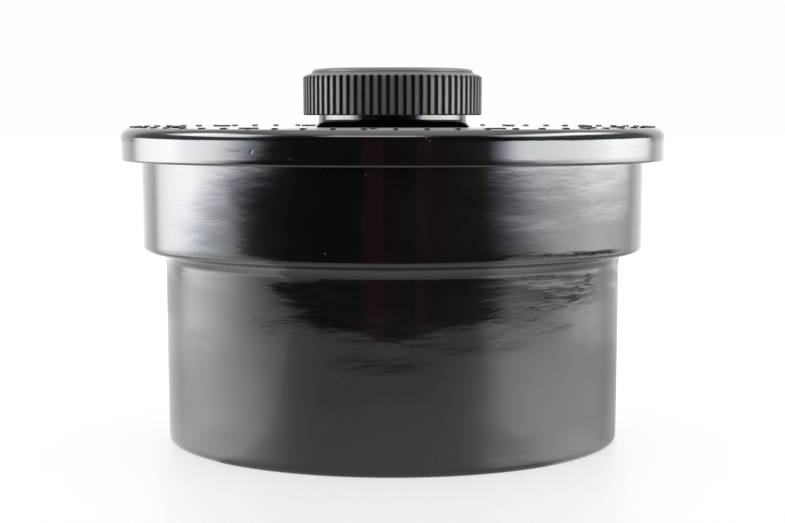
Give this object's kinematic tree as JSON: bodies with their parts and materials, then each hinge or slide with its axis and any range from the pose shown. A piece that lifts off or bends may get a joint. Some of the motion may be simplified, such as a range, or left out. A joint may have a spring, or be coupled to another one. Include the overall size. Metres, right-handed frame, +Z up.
{
  "type": "film developing tank",
  "caption": "Round stepped daylight tank with a push-on dial lid, a fluted screw cap on its filler neck, and an adjustable spiral film reel on a hollow column.",
  "frame": {"origin": "centre of the base, on the surface that the tank stands on", "axes": "+Z up along the tank's axis; -Y is the side that faces the viewer, +X to the viewer's right"},
  "size_m": [0.13, 0.13, 0.0889],
  "materials": {
    "gloss_bakelite": "polished black phenolic moulding with light haze",
    "cap_bakelite": "worn satin black phenolic moulding",
    "inner_bakelite": "satin black phenolic moulding",
    "seal_rubber": "smooth black rubber",
    "steel": "stainless steel"
  },
  "bodies": {
    "tank": {"tank_body": "gloss_bakelite"},
    "seal": {"lid_seal": "seal_rubber"},
    "lid": {"lid": "gloss_bakelite", "light_trap": "inner_bakelite"},
    "liner": {"cap_liner": "seal_rubber"},
    "cap": {"cap": "cap_bakelite"},
    "column": {"centre_column": "inner_bakelite"},
    "reel_lower": {"lower_flange": "inner_bakelite", "lower_ball": "steel"},
    "reel_sleeve": {"width_sleeve": "inner_bakelite", "retaining_ring": "steel"},
    "reel_upper": {"upper_flange": "inner_bakelite", "upper_ball": "steel"}
  },
  "joints": [
    {"name": "lid_lift", "type": "slide", "parent": "tank", "child": "seal", "axis": [0, 0, 1], "range_m": [0, 0.16]},
    {"name": "lid_turn", "type": "hinge", "parent": "seal", "child": "lid", "pos_m": [0, 0, 0.072], "axis": [0, 0, 1], "continuous": true},
    {"name": "cap_lift", "type": "slide", "parent": "lid", "child": "liner", "axis": [0, 0, 1], "range_m": [0, 0.012]},
    {"name": "cap_turn", "type": "hinge", "parent": "liner", "child": "cap", "pos_m": [0, 0, 0.085], "axis": [0, 0, 1], "range_deg": [0, 1080]},
    {"name": "column_spin", "type": "hinge", "parent": "tank", "child": "column", "pos_m": [0, 0, 0.003], "axis": [0, 0, 1], "continuous": true},
    {"name": "reel_lift", "type": "slide", "parent": "column", "child": "reel_lower", "axis": [0, 0, 1], "range_m": [0, 0.08]},
    {"name": "reel_width", "type": "slide", "parent": "reel_lower", "child": "reel_sleeve", "axis": [0, 0, 1], "range_m": [0, 0.0265]},
    {"name": "reel_ratchet", "type": "hinge", "parent": "reel_sleeve", "child": "reel_upper", "pos_m": [0, 0, 0.0422], "axis": [0, 0, 1], "range_deg": [-22, 22]}
  ],
  "couplings": [
    {"joint": "cap_lift", "follows": "cap_turn", "m_per_rad": 0.00063662},
    {"joint": "reel_lift", "follows": "lid_lift", "ratio": 0.5}
  ]
}
